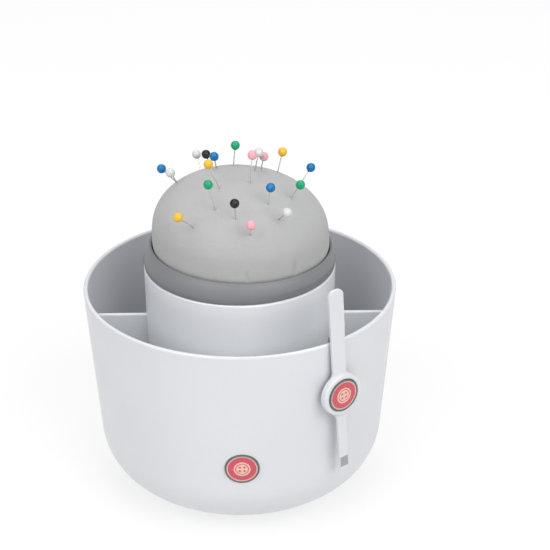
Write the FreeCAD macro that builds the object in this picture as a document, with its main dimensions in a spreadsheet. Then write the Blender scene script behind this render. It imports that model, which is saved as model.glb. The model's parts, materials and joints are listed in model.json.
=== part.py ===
import FreeCAD, Part
import math
import os

import Sketcher
from FreeCAD import Placement, Rotation, Vector

# Round desk caddy on a turntable: a bowl-shaped tub with a storage cup in its middle, a lift-off pincushion
# lid on the cup, and a wand that hangs from the rim. Millimetres, +Z up, the floor at Z = 0, the turning axis
# on the Z axis, and the badged front of the tub towards -Y.

DIMENSIONS = [
    # alias, value, meaning
    ("foot_height", 1.4, "rubber foot, from the floor to the bottom of its recess"),
    ("foot_radius", 5.0, "rubber foot"),
    ("foot_orbit", 29.0, "feet, distance from the axis"),
    ("foot_count", 6, "feet"),
    ("base_radius", 39.5, "base plate"),
    ("base_under", 0.8, "underside of the base plate"),
    ("base_top", 2.6, "top of the base plate"),
    ("base_edge_round", 0.6, "rounding of the base plate's edges"),
    ("ball_radius", 2.0, "bearing ball"),
    ("ball_orbit", 26.0, "ball circle"),
    ("ball_centre", 5.05, "height of the ball centres"),
    ("ball_count", 16, "balls"),
    ("ball_play", 0.05, "gap between a ball and its groove"),
    ("race_thick", 1.0, "steel race"),
    ("lower_race_in", 19.0, "lower race, hole"),
    ("lower_race_out", 33.4, "lower race, outside"),
    ("upper_race_in", 18.6, "upper race, hole"),
    ("upper_race_out", 33.0, "upper race, outside"),
    ("upper_race_under", 6.5, "underside of the upper race"),
    ("cage_in", 23.0, "ball cage, hole"),
    ("cage_out", 29.0, "ball cage, outside"),
    ("cage_under", 4.2, "underside of the ball cage"),
    ("cage_top", 5.9, "top of the ball cage"),
    ("cage_play", 0.1, "gap between a ball and its pocket"),
    ("lower_screw_orbit", 31.4, "screws of the lower race"),
    ("upper_screw_orbit", 20.7, "screws of the upper race"),
    ("race_screw_radius", 1.0, "race screw, shank"),
    ("race_screw_head", 1.75, "race screw, head radius"),
    ("race_screw_head_high", 0.9, "race screw, head height"),
    ("race_screw_long", 1.5, "race screw, shank below the head"),
    ("race_screw_count", 4, "screws in each race"),
    ("post_radius", 4.0, "pivot post"),
    ("post_flange", 8.0, "flange of the pivot post, and its washer"),
    ("post_flange_top", 1.8, "top of the post's flange"),
    ("post_top", 10.8, "top of the pivot post"),
    ("bush_play", 0.05, "gap between the post and its bush"),
    ("bush_radius", 6.0, "hub bush"),
    ("bush_flange", 8.0, "flange of the hub bush"),
    ("bush_under", 5.0, "underside of the hub bush"),
    ("bush_top", 10.5, "top of the hub bush"),
    ("washer_thick", 1.0, "retaining washer"),
    ("hub_screw_radius", 1.5, "retaining screw, shank"),
    ("hub_screw_head", 3.2, "retaining screw, head radius"),
    ("hub_screw_head_high", 1.8, "retaining screw, head height"),
    ("hub_screw_head_round", 0.9, "rounding of the retaining screw's head"),
    ("hub_screw_end", 4.2, "lower end of the retaining screw"),
    ("cap_radius", 13.0, "hub cap"),
    ("cap_wall", 1.2, "hub cap, wall"),
    ("cap_top", 15.5, "top of the hub cap"),
    ("cap_round", 2.0, "rounding of the hub cap"),
    ("cap_play", 0.2, "gap between the hub cap and the cup's hole"),
    ("tub_under", 3.0, "underside of the tub"),
    ("rim_height", 104.2, "rim of the tub"),
    ("rim_radius", 75.0, "outside of the rim"),
    ("tub_draft", 0.0755, "how much the tub's radius grows for each unit of height"),
    ("tub_wall", 2.2, "wall of the tub"),
    ("tub_outer_round", 28.3, "rounded lower edge of the tub, outside"),
    ("tub_inner_round", 20.0, "rounded lower edge of the tub, inside"),
    ("floor_under", 7.5, "underside of the tub's floor, over the turntable"),
    ("floor_top", 9.5, "top of the tub's floor"),
    ("recess_radius", 38.0, "recess for the turntable"),
    ("lip_round", 1.05, "rounding of the tub's lip"),
    ("cup_top", 114.4, "lip of the storage cup"),
    ("cup_radius", 45.7, "outside of the storage cup at its lip"),
    ("cup_draft", 0.012, "how much the cup's radius grows for each unit of height"),
    ("cup_wall", 1.7, "wall and floor of the cup"),
    ("cup_lip_round", 0.8, "rounding of the cup's lip"),
    ("cup_foot_round", 3.0, "rounding inside the cup, at its floor"),
    ("cup_screw_orbit", 30.0, "screws that hold the cup"),
    ("cup_screw_radius", 1.2, "cup screw, shank"),
    ("cup_screw_head", 2.6, "cup screw, head radius"),
    ("cup_screw_head_high", 1.4, "cup screw, head height"),
    ("cup_screw_long", 3.2, "cup screw, shank below the head"),
    ("cup_screw_count", 3, "cup screws"),
    ("divider_top", 87.0, "top edge of the dividers"),
    ("divider_thick", 2.2, "dividers"),
    ("divider_gap", 0.1, "gap between a divider and the walls that it slots between"),
    ("divider_round", 0.92, "rounding of a divider's top edge"),
    ("badge_height", 43.2, "centre of the tub's badge"),
    ("badge_radius", 8.0, "badge bezel, outside"),
    ("badge_bezel_wall", 0.8, "badge bezel, wall"),
    ("badge_band_wall", 0.7, "pale band inside the bezel"),
    ("badge_sink", 0.9, "depth of the badge's recess"),
    ("badge_bezel_proud", 0.5, "bezel above the surface"),
    ("badge_face_proud", 0.25, "enamel above the surface"),
    ("badge_round", 0.25, "rounding of the bezel"),
    ("badge_play", 0.1, "gap between the tub's badge and its recess"),
    ("emblem_radius", 3.9, "button emblem"),
    ("emblem_thick", 0.3, "button emblem"),
    ("emblem_hole_radius", 0.65, "button emblem, holes"),
    ("emblem_hole_orbit", 1.45, "button emblem, holes from its centre"),
    ("collar_under", 114.6, "underside of the lid's collar, on the cup's lip"),
    ("collar_radius", 45.6, "lower edge of the collar"),
    ("collar_top", 124.4, "top edge of the collar"),
    ("collar_top_radius", 43.7, "outside of the collar at its top"),
    ("collar_mouth", 42.3, "inside of the collar at its top"),
    ("collar_round", 0.4, "rounding of the collar's edges"),
    ("lid_floor_under", 116.0, "underside of the lid's floor"),
    ("lid_floor_top", 118.0, "top of the lid's floor"),
    ("plug_radius", 43.4, "skirt that plugs into the cup"),
    ("plug_wall", 1.6, "wall of the skirt"),
    ("plug_under", 106.0, "lower edge of the skirt"),
    ("board_radius", 33.5, "board under the stuffing"),
    ("board_thick", 2.0, "board under the stuffing"),
    ("board_screw_orbit", 24.0, "board screws"),
    ("board_screw_long", 3.4, "board screw, shank above the head"),
    ("cushion_radius", 42.3, "widest part of the cushion"),
    ("cushion_waist", 130.4, "height of the cushion's widest part"),
    ("cushion_crown", 28.8, "crown of the cushion above its widest part"),
    ("cushion_under", 34.0, "depth of the ellipsoid that forms the cushion's underside"),
    ("pin_radius", 0.3, "pin, shaft"),
    ("pin_head_radius", 2.2, "pin, head"),
    ("pin_buried", 15.0, "length of each pin inside the cushion"),
    ("wand_azimuth", 34.4, "where the wand hangs, from the front towards +X, degrees"),
    ("wand_lean", 4.3, "how far the wand leans sideways, degrees"),
    ("wand_standoff", 0.6, "gap between the rim and the strip"),
    ("wand_thick", 1.6, "strip of the wand"),
    ("wand_width", 8.0, "upper strip of the wand"),
    ("wand_top", 27.6, "top of the wand above the rim"),
    ("disc_drop", 26.3, "centre of the wand's disc below the rim"),
    ("disc_radius", 10.4, "disc of the wand"),
    ("disc_thick", 3.4, "disc of the wand"),
    ("disc_round", 0.8, "rounding of the disc's face"),
    ("stem_width", 5.2, "lower strip of the wand"),
    ("stem_end", 67.8, "lower end of the wand below the rim"),
    ("tip_start", 61.2, "top of the tip below the rim"),
    ("tip_long", 5.4, "tip of the wand"),
    ("tip_width", 4.4, "tip of the wand"),
    ("tip_thick", 0.8, "tip of the wand"),
    ("hook_width", 2.4, "hook behind the strip"),
    ("hook_thick", 1.2, "hook behind the strip, its tab and bridge"),
    ("hook_gap", 0.6, "gap between the hook's bridge and the rim"),
    ("hook_reach", 3.2, "inner face of the hook's leg, from the rim's outer edge"),
    ("hook_leg_thick", 1.0, "leg of the hook"),
    ("hook_drop", 8.0, "leg of the hook below the rim"),
    ("hook_rise", 9.0, "tab of the hook above the rim"),
    ("rivet_radius", 0.7, "rivet that holds the hook"),
    ("rivet_rise", 5.6, "rivet above the rim"),
]

# Ball-headed pins: colour, place of entry on the cushion as X and Y, exposed length, lean from the vertical and
# the compass direction of the lean in degrees (0 is +X, 90 is +Y).
PINS = [
    ("blue", -29.0, 10.5, 11.8, 43, -173),
    ("white", -28.8, 7.5, 10.1, 34, -132),
    ("white", -18.5, 29.5, 10.5, 33, 117),
    ("black", -14.0, 23.0, 7.6, 20, 150),
    ("blue", -11.3, 15.0, 7.7, 20, -110),
    ("yellow", -9.5, -11.5, 14.5, 23, -151),
    ("green", -11.5, -25.0, 15.5, 18, -128),
    ("green", -3.2, 16.0, 10.0, 15, 67),
    ("pink", 4.5, -7.0, 14.0, 7, -50),
    ("white", 7.0, 9.0, 9.0, 12, -22),
    ("pink", 10.0, 14.0, 7.2, 20, -60),
    ("yellow", 18.0, 16.5, 9.5, 19, 45),
    ("blue", 29.0, 23.0, 9.5, 34, 18),
    ("green", 23.5, -11.5, 9.0, 35, -41),
    ("blue", 12.5, -21.0, 9.0, 14, -59),
    ("black", -2.3, -30.5, 10.5, 21, -96),
    ("yellow", -21.0, -29.0, 13.8, 49, -132),
    ("pink", 4.0, -36.0, 8.5, 34, -84),
    ("white", 17.5, -27.0, 9.0, 50, -62),
]
PIN_COLOURS = ["blue", "white", "black", "yellow", "green", "pink"]

# Turns the axis of a turned piece from +Z to -Y, with its own Y axis upwards.
FACE_FRONT = 90.0

doc = FreeCAD.newDocument("TurntableCaddy")
sheet = doc.addObject("Spreadsheet::Sheet", "Dims")
for row, (alias, value, meaning) in enumerate(DIMENSIONS, start=1):
    sheet.set(f"A{row}", meaning)
    sheet.set(f"B{row}", str(value))
    sheet.setAlias(f"B{row}", alias)
doc.recompute()

subparts = []


class Size:
    """A length with the spreadsheet formula that it comes from, so that both stay together."""

    def __init__(self, value, formula):
        self.value = value
        self.formula = formula

    def __add__(self, other):
        other = as_size(other)
        return Size(self.value + other.value, f"({self.formula} + {other.formula})")

    def __sub__(self, other):
        other = as_size(other)
        return Size(self.value - other.value, f"({self.formula} - {other.formula})")

    def __mul__(self, other):
        other = as_size(other)
        return Size(self.value * other.value, f"({self.formula} * {other.formula})")

    def __truediv__(self, other):
        other = as_size(other)
        return Size(self.value / other.value, f"({self.formula} / {other.formula})")

    def __neg__(self):
        return Size(-self.value, f"(0 - {self.formula})")


def as_size(number):
    return number if isinstance(number, Size) else Size(float(number), repr(float(number)))


def dim(alias):
    return Size(float(sheet.get(alias)), f"Dims.{alias}")


ZERO = as_size(0)


def bind(thing, path, size):
    thing.setExpression(path, as_size(size).formula)


def register(thing, label, place=None):
    """Names a finished sub-part and, where it isn't built in place, sets where it goes."""
    thing.Label = label
    if place is not None:
        thing.Placement = place
    subparts.append(thing)
    return thing


# ---------------------------------------------------------------- building blocks

def new_body(name):
    body = doc.addObject("PartDesign::Body", name)
    body.AllowCompound = True
    return body


def origin_feature(body, role):
    return next(feature for feature in body.Origin.OriginFeatures if feature.Role == role)


def new_sketch(body, role):
    sketch = body.newObject("Sketcher::SketchObject", body.Name + "_sketch")
    sketch.AttachmentSupport = [(origin_feature(body, role), "")]
    sketch.MapMode = "FlatFace"
    return sketch


def pin_coordinate(sketch, kind, edge, size):
    """Ties the start point of an edge to a sheet formula, or to the axis where the coordinate is zero."""
    if size.value == 0:
        axis = -2 if kind == "DistanceX" else -1
        sketch.addConstraint(Sketcher.Constraint("PointOnObject", edge, 1, axis))
        return
    index = sketch.addConstraint(Sketcher.Constraint(kind, edge, 1, size.value))
    sketch.setExpression(f"Constraints[{index}]", size.formula)


def add_outline(sketch, corners):
    """Draws a closed outline of straight edges, each corner tied to the sheet."""
    corners = [(as_size(across), as_size(up)) for across, up in corners]
    points = [Vector(across.value, up.value, 0) for across, up in corners]
    count = len(points)
    for i in range(count):
        sketch.addGeometry(Part.LineSegment(points[i], points[(i + 1) % count]), False)
    for i in range(count):
        sketch.addConstraint(Sketcher.Constraint("Coincident", i, 2, (i + 1) % count, 1))
    for i, (across, up) in enumerate(corners):
        pin_coordinate(sketch, "DistanceX", i, across)
        pin_coordinate(sketch, "DistanceY", i, up)


def turned(name, corners):
    """A body turned about its own Z axis from an outline of (radius, height) corners."""
    body = new_body(name)
    sketch = new_sketch(body, "XZ_Plane")
    add_outline(sketch, corners)
    turn = body.newObject("PartDesign::Revolution", name + "_turn")
    turn.Profile = sketch
    turn.ReferenceAxis = (sketch, ["V_Axis"])
    turn.Angle = 360
    doc.recompute()
    return body


def padded_outline(name, role, corners, thickness):
    """A flat body: an outline in one of the origin planes, padded half to each side."""
    body = new_body(name)
    sketch = new_sketch(body, role)
    add_outline(sketch, corners)
    pad = body.newObject("PartDesign::Pad", name + "_pad")
    pad.Profile = sketch
    pad.Midplane = True
    bind(pad, "Length", thickness)
    doc.recompute()
    return body


def fillet(body, radius, wanted):
    """Rounds the edges of the body's tip for which wanted(edge) is true."""
    tip = body.Tip
    names = [f"Edge{i}" for i, edge in enumerate(tip.Shape.Edges, start=1) if wanted(edge)]
    if not names:
        raise RuntimeError(f"{body.Name}: no edge to round")
    rounded = body.newObject("PartDesign::Fillet", body.Name + "_fillet")
    rounded.Base = (tip, names)
    bind(rounded, "Radius", radius)
    doc.recompute()
    return rounded


def circle_at(*places):
    """Selects full circles about the Z axis by (radius, height)."""
    def wanted(edge):
        if not isinstance(edge.Curve, Part.Circle):
            return False
        centre = edge.Curve.Center
        on_axis = math.hypot(centre.x, centre.y) < 1e-4
        return on_axis and any(
            abs(edge.Curve.Radius - as_size(radius).value) < 1e-3
            and abs(centre.z - as_size(height).value) < 1e-3
            for radius, height in places)
    return wanted


def primitive(body, kind, name, place=(0, 0, 0), **sizes):
    """Adds a PartDesign primitive such as AdditiveCylinder, its sizes and its place tied to the sheet."""
    feature = body.newObject("PartDesign::" + kind, name)
    for prop, size in sizes.items():
        bind(feature, prop, size)
    for axis, size in zip("xyz", place):
        bind(feature, f"Placement.Base.{axis}", size)
    doc.recompute()
    return feature


def around(body, features, count):
    """Repeats features evenly about the Z axis."""
    pattern = body.newObject("PartDesign::PolarPattern", body.Name + "_pattern")
    pattern.Originals = features
    pattern.Axis = (origin_feature(body, "Z_Axis"), [""])
    pattern.Angle = 360
    bind(pattern, "Occurrences", count)
    body.Tip = pattern
    doc.recompute()
    return pattern


def drill_ring(body, radius, orbit, bottom, depth, count):
    """Cuts a ring of round holes or pockets, and makes sure that they cut."""
    before = body.Shape.Volume
    hole = primitive(body, "SubtractiveCylinder", body.Name + "_hole", (orbit, ZERO, bottom),
                     Radius=radius, Height=depth)
    around(body, [hole], count)
    if body.Shape.Volume >= before:
        raise RuntimeError(f"{body.Name}: the holes cut nothing")


def screw_ring(label, orbit, seat, shank_radius, shank_long, head_radius, head_high, count, head_up):
    """A ring of pan-head screws in one node. The seat is the height of the head's bearing face."""
    body = new_body(label)
    shank_from = seat - shank_long if head_up else seat
    head_from = seat if head_up else seat - head_high
    shank = primitive(body, "AdditiveCylinder", label + "_shank", (orbit, ZERO, shank_from),
                      Radius=shank_radius, Height=shank_long)
    head = primitive(body, "AdditiveCylinder", label + "_head", (orbit, ZERO, head_from),
                     Radius=head_radius, Height=head_high)
    around(body, [shank, head], count)
    register(body, label)


# ---------------------------------------------------------------- shared geometry

def tub_outside(height):
    """Radius of the tub's outer face at a height."""
    return dim("rim_radius") - dim("tub_draft") * (dim("rim_height") - height)


def cup_outside(height):
    return dim("cup_radius") - dim("cup_draft") * (dim("cup_top") - height)


def wall_slope():
    """Angle of the tub's wall from the vertical, in degrees."""
    return math.degrees(math.atan(dim("tub_draft").value))


def tub_badge_place():
    height = dim("badge_height")
    tilt = Rotation(Vector(1, 0, 0), FACE_FRONT + wall_slope())
    return Placement(Vector(0, -tub_outside(height).value, height.value), tilt)


def wand_place():
    """The wand's own frame: origin on the rim's outer edge, +Z up along the strip, -Y away from the wall."""
    turn = Rotation(Vector(0, 0, 1), dim("wand_azimuth").value)
    lean = Rotation(Vector(0, 1, 0), -dim("wand_lean").value)
    on_rim = turn.multVec(Vector(0, -dim("rim_radius").value, dim("rim_height").value))
    return Placement(on_rim, turn.multiply(lean))


def crown_height(across, deep):
    """Height of the cushion's surface over a point."""
    share = (across ** 2 + deep ** 2) / dim("cushion_radius").value ** 2
    return dim("cushion_waist").value + dim("cushion_crown").value * math.sqrt(1 - share)


# ---------------------------------------------------------------- base and bearing

def make_base_plate():
    post, flange = dim("post_radius"), dim("post_flange")
    under, top, step = dim("base_under"), dim("base_top"), dim("post_flange_top")
    edge = dim("base_radius")
    body = turned("base_plate", [(post, step), (flange, step), (flange, under), (edge, under),
                                 (edge, top), (post, top)])
    fillet(body, dim("base_edge_round"), circle_at((edge, under), (edge, top)))
    drill_ring(body, dim("foot_radius"), dim("foot_orbit"), ZERO, dim("foot_height"), dim("foot_count"))
    drill_ring(body, dim("race_screw_radius"), dim("lower_screw_orbit"), top - screw_grip(),
               screw_grip(), dim("race_screw_count"))
    register(body, "base_plate")


def screw_grip():
    """Length of a race screw beyond the race."""
    return dim("race_screw_long") - dim("race_thick")


def make_rubber_feet():
    body = new_body("rubber_feet")
    foot = primitive(body, "AdditiveCylinder", "foot", (dim("foot_orbit"), ZERO, ZERO),
                     Radius=dim("foot_radius"), Height=dim("foot_height"))
    around(body, [foot], dim("foot_count"))
    register(body, "rubber_feet")


def make_race(label, hole, edge, under, screw_orbit):
    """A pressed steel ring with a ball groove."""
    top = under + dim("race_thick")
    body = turned(label, [(hole, under), (edge, under), (edge, top), (hole, top)])
    before = body.Shape.Volume
    primitive(body, "SubtractiveTorus", label + "_groove", (ZERO, ZERO, dim("ball_centre")),
              Radius1=dim("ball_orbit"), Radius2=dim("ball_radius") + dim("ball_play"))
    if body.Shape.Volume >= before:
        raise RuntimeError(f"{label}: the groove cut nothing")
    drill_ring(body, dim("race_screw_radius"), screw_orbit, under, dim("race_thick"),
               dim("race_screw_count"))
    register(body, label)


def make_race_screws(label, orbit, seat, head_up):
    screw_ring(label, orbit, seat, dim("race_screw_radius"), dim("race_screw_long"),
               dim("race_screw_head"), dim("race_screw_head_high"), dim("race_screw_count"), head_up)


def make_ball_cage():
    hole, edge = dim("cage_in"), dim("cage_out")
    under, top = dim("cage_under"), dim("cage_top")
    body = turned("ball_cage", [(hole, under), (edge, under), (edge, top), (hole, top)])
    drill_ring(body, dim("ball_radius") + dim("cage_play"), dim("ball_orbit"), under, top - under,
               dim("ball_count"))
    register(body, "ball_cage")


def make_bearing_balls():
    body = new_body("bearing_balls")
    ball = primitive(body, "AdditiveSphere", "ball", (dim("ball_orbit"), ZERO, dim("ball_centre")),
                     Radius=dim("ball_radius"))
    around(body, [ball], dim("ball_count"))
    register(body, "bearing_balls")


def make_pivot_post():
    post, flange, bore = dim("post_radius"), dim("post_flange"), dim("hub_screw_radius")
    under, step, top = dim("base_under"), dim("post_flange_top"), dim("post_top")
    bore_end = dim("hub_screw_end")
    body = turned("pivot_post", [(ZERO, under), (flange, under), (flange, step), (post, step),
                                 (post, top), (bore, top), (bore, bore_end), (ZERO, bore_end)])
    register(body, "pivot_post")


def make_hub_bush():
    bore, sleeve, flange = dim("post_radius") + dim("bush_play"), dim("bush_radius"), dim("bush_flange")
    under, seat, top = dim("bush_under"), dim("floor_top"), dim("bush_top")
    body = turned("hub_bush", [(bore, under), (sleeve, under), (sleeve, seat), (flange, seat),
                               (flange, top), (bore, top)])
    register(body, "hub_bush")


def make_retaining_washer():
    hole, edge, under = dim("hub_screw_radius"), dim("post_flange"), dim("post_top")
    top = under + dim("washer_thick")
    body = turned("retaining_washer", [(hole, under), (edge, under), (edge, top), (hole, top)])
    register(body, "retaining_washer")


def make_retaining_screw():
    shank, head = dim("hub_screw_radius"), dim("hub_screw_head")
    end, seat = dim("hub_screw_end"), dim("post_top") + dim("washer_thick")
    top = seat + dim("hub_screw_head_high")
    body = turned("retaining_screw", [(ZERO, end), (shank, end), (shank, seat), (head, seat),
                                      (head, top), (ZERO, top)])
    fillet(body, dim("hub_screw_head_round"), circle_at((head, top)))
    register(body, "retaining_screw")


def make_hub_cap():
    edge, wall = dim("cap_radius"), dim("cap_wall")
    under, top = dim("floor_top"), dim("cap_top")
    body = turned("hub_cap", [(edge - wall, under), (edge, under), (edge, top), (ZERO, top),
                              (ZERO, top - wall), (edge - wall, top - wall)])
    fillet(body, dim("cap_round"), circle_at((edge, top)))
    register(body, "hub_cap")


# ---------------------------------------------------------------- tub

def make_tub_shell():
    hub, recess = dim("bush_radius"), dim("recess_radius")
    under, floor_under, floor_top = dim("tub_under"), dim("floor_under"), dim("floor_top")
    rim, rim_height, wall = dim("rim_radius"), dim("rim_height"), dim("tub_wall")
    foot, inner_foot = tub_outside(under), tub_outside(floor_top) - wall
    body = turned("tub_shell_turned", [(hub, floor_under), (recess, floor_under), (recess, under),
                                       (foot, under), (rim, rim_height), (rim - wall, rim_height),
                                       (inner_foot, floor_top), (hub, floor_top)])
    fillet(body, dim("tub_outer_round"), circle_at((foot, under)))
    fillet(body, dim("tub_inner_round"), circle_at((inner_foot, floor_top)))
    fillet(body, dim("lip_round"), circle_at((rim, rim_height), (rim - wall, rim_height)))
    drill_ring(body, dim("race_screw_radius"), dim("upper_screw_orbit"), floor_under, screw_grip(),
               dim("race_screw_count"))
    cup_grip = dim("cup_screw_long") - dim("cup_wall")
    drill_ring(body, dim("cup_screw_radius"), dim("cup_screw_orbit"), floor_top - cup_grip, cup_grip,
               dim("cup_screw_count"))
    # The badge's cutter starts at the bottom of its recess and reaches well past the outer face.
    seat = doc.addObject("Part::Cylinder", "badge_seat")
    bind(seat, "Radius", dim("badge_radius") + dim("badge_play"))
    bind(seat, "Height", dim("badge_sink") * 4)
    seat.Placement = tub_badge_place().multiply(Placement(Vector(0, 0, -dim("badge_sink").value), Rotation()))
    shell = doc.addObject("Part::Cut", "tub_shell")
    shell.Base = body
    shell.Tool = seat
    register(shell, "tub_shell")


def make_centre_cup():
    hole = dim("cap_radius") + dim("cap_play")
    under, top, wall = dim("floor_top"), dim("cup_top"), dim("cup_wall")
    foot, lip = cup_outside(under), dim("cup_radius")
    inner_foot = cup_outside(under + wall) - wall
    body = turned("centre_cup", [(hole, under), (foot, under), (lip, top), (lip - wall, top),
                                 (inner_foot, under + wall), (hole, under + wall)])
    fillet(body, dim("cup_lip_round"), circle_at((lip, top), (lip - wall, top)))
    fillet(body, dim("cup_foot_round"), circle_at((inner_foot, under + wall)))
    drill_ring(body, dim("cup_screw_radius"), dim("cup_screw_orbit"), under, wall, dim("cup_screw_count"))
    register(body, "centre_cup")


def make_cup_screws():
    screw_ring("cup_screws", dim("cup_screw_orbit"), dim("floor_top") + dim("cup_wall"),
               dim("cup_screw_radius"), dim("cup_screw_long"), dim("cup_screw_head"),
               dim("cup_screw_head_high"), dim("cup_screw_count"), head_up=True)


def make_divider(label, turn):
    """A plate slotted between the cup and the tub's wall, standing on the floor."""
    gap, under, top = dim("divider_gap"), dim("floor_top"), dim("divider_top")
    wall = dim("tub_wall")
    corners = [(cup_outside(under) + gap, under), (tub_outside(under) - wall - gap, under),
               (tub_outside(top) - wall - gap, top), (cup_outside(top) + gap, top)]
    body = padded_outline(label, "XZ_Plane", corners, dim("divider_thick"))
    far = corners[1][0].value

    def lower_outer(edge):
        middle = edge.CenterOfMass
        return abs(middle.x - far) < 1e-3 and abs(middle.z - under.value) < 1e-3

    def along_top(edge):
        middle = edge.CenterOfMass
        ends = edge.Vertexes
        runs_along = abs(ends[0].X - ends[-1].X) > 1
        return abs(middle.z - top.value) < 1e-3 and runs_along

    fillet(body, dim("tub_inner_round") + gap, lower_outer)
    fillet(body, dim("divider_round"), along_top)
    register(body, label, Placement(Vector(), Rotation(Vector(0, 0, 1), turn)))


# ---------------------------------------------------------------- badges

def make_badge(prefix, place):
    """Bezel, pale band, enamel field and raised button emblem, turned about the badge's own Z axis."""
    edge, bezel, band = dim("badge_radius"), dim("badge_bezel_wall"), dim("badge_band_wall")
    back, proud, face = -dim("badge_sink"), dim("badge_bezel_proud"), dim("badge_face_proud")
    band_edge = edge - bezel
    field_edge = band_edge - band
    ring = turned(prefix + "_bezel", [(band_edge, back), (edge, back), (edge, proud), (band_edge, proud)])
    fillet(ring, dim("badge_round"), circle_at((edge, proud), (band_edge, proud)))
    register(ring, prefix + "_bezel", place)
    pale = turned(prefix + "_band", [(field_edge, back), (band_edge, back), (band_edge, face),
                                     (field_edge, face)])
    register(pale, prefix + "_band", place)
    field = turned(prefix + "_field", [(ZERO, back), (field_edge, back), (field_edge, face), (ZERO, face)])
    register(field, prefix + "_field", place)
    top = face + dim("emblem_thick")
    emblem = turned(prefix + "_emblem", [(ZERO, face), (dim("emblem_radius"), face),
                                         (dim("emblem_radius"), top), (ZERO, top)])
    drill_ring(emblem, dim("emblem_hole_radius"), dim("emblem_hole_orbit"), face, dim("emblem_thick"), 4)
    register(emblem, prefix + "_emblem", place)


# ---------------------------------------------------------------- pincushion lid

def make_collar():
    lower, upper, mouth = dim("collar_radius"), dim("collar_top_radius"), dim("collar_mouth")
    under, top = dim("collar_under"), dim("collar_top")
    plug, plug_in, plug_under = dim("plug_radius"), dim("plug_radius") - dim("plug_wall"), dim("plug_under")
    floor_under, floor_top = dim("lid_floor_under"), dim("lid_floor_top")
    body = turned("collar", [(ZERO, floor_under), (plug_in, floor_under), (plug_in, plug_under),
                             (plug, plug_under), (plug, under), (lower, under), (upper, top),
                             (mouth, top), (mouth, floor_top), (ZERO, floor_top)])
    fillet(body, dim("collar_round"), circle_at((lower, under), (upper, top), (mouth, top)))
    drill_ring(body, dim("cup_screw_radius"), dim("board_screw_orbit"), floor_under,
               floor_top - floor_under, dim("cup_screw_count"))
    register(body, "collar")


def make_cushion_board():
    edge, under = dim("board_radius"), dim("lid_floor_top")
    top = under + dim("board_thick")
    grip = dim("board_screw_long") - (under - dim("lid_floor_under"))
    body = turned("cushion_board", [(ZERO, under), (edge, under), (edge, top), (ZERO, top)])
    drill_ring(body, dim("cup_screw_radius"), dim("board_screw_orbit"), under, grip,
               dim("cup_screw_count"))
    register(body, "cushion_board")


def make_board_screws():
    screw_ring("board_screws", dim("board_screw_orbit"), dim("lid_floor_under"), dim("cup_screw_radius"),
               dim("board_screw_long"), dim("cup_screw_head"), dim("cup_screw_head_high"),
               dim("cup_screw_count"), head_up=False)


def make_cushion():
    """The stuffed cushion: a domed upper half, and a flatter lower half that is cut off at the board."""
    waist, wide = dim("cushion_waist"), dim("cushion_radius")
    board_top = dim("lid_floor_top") + dim("board_thick")
    body = new_body("cushion")
    crown = primitive(body, "AdditiveEllipsoid", "cushion_crown_half", (ZERO, ZERO, waist),
                      Radius1=dim("cushion_crown"), Radius2=wide, Radius3=wide)
    crown.Angle1, crown.Angle2 = 0, 90
    under = primitive(body, "AdditiveEllipsoid", "cushion_under_half", (ZERO, ZERO, waist),
                      Radius1=dim("cushion_under"), Radius2=wide, Radius3=wide)
    under.Angle1, under.Angle2 = -90, 0
    doc.recompute()
    # The flat's cutter is a little wider than the cushion.
    primitive(body, "SubtractiveCylinder", "cushion_flat", (ZERO, ZERO, board_top - dim("cushion_under")),
              Radius=wide * 1.1, Height=dim("cushion_under"))
    register(body, "cushion")


def pin_axis(across, deep, lean, compass):
    """Entry point and direction of a pin."""
    lean, compass = math.radians(lean), math.radians(compass)
    sideways = math.sin(lean)
    direction = Vector(sideways * math.cos(compass), sideways * math.sin(compass), math.cos(lean))
    return Vector(across, deep, crown_height(across, deep)), direction


def make_pins():
    """All shafts in one node, and the heads in one node for each colour."""
    buried = dim("pin_buried").value
    shafts, heads = [], {colour: [] for colour in PIN_COLOURS}
    for number, (colour, across, deep, exposed, lean, compass) in enumerate(PINS, start=1):
        entry, direction = pin_axis(across, deep, lean, compass)
        turn = Rotation(Vector(0, 0, 1), direction)
        shaft = doc.addObject("Part::Cylinder", f"pin_{number}")
        bind(shaft, "Radius", dim("pin_radius"))
        shaft.Height = buried + exposed
        shaft.Placement = Placement(entry - direction * buried, turn)
        shafts.append(shaft)
        head = doc.addObject("Part::Sphere", f"pin_head_{number}")
        bind(head, "Radius", dim("pin_head_radius"))
        head.Placement = Placement(entry + direction * exposed, turn)
        heads[colour].append(head)
    group("pin_shafts", shafts)
    for colour in PIN_COLOURS:
        group("pin_heads_" + colour, heads[colour])


def group(label, members):
    """One node made of separate solids."""
    compound = doc.addObject("Part::Compound", label)
    compound.Links = members
    register(compound, label)


# ---------------------------------------------------------------- wand

def facing(feature):
    """Lays a cylinder's axis along -Y, out of the wall."""
    feature.Placement.Rotation = Rotation(Vector(1, 0, 0), FACE_FRONT)
    doc.recompute()


def disc_face():
    return -dim("wand_standoff") - dim("disc_thick")


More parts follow.
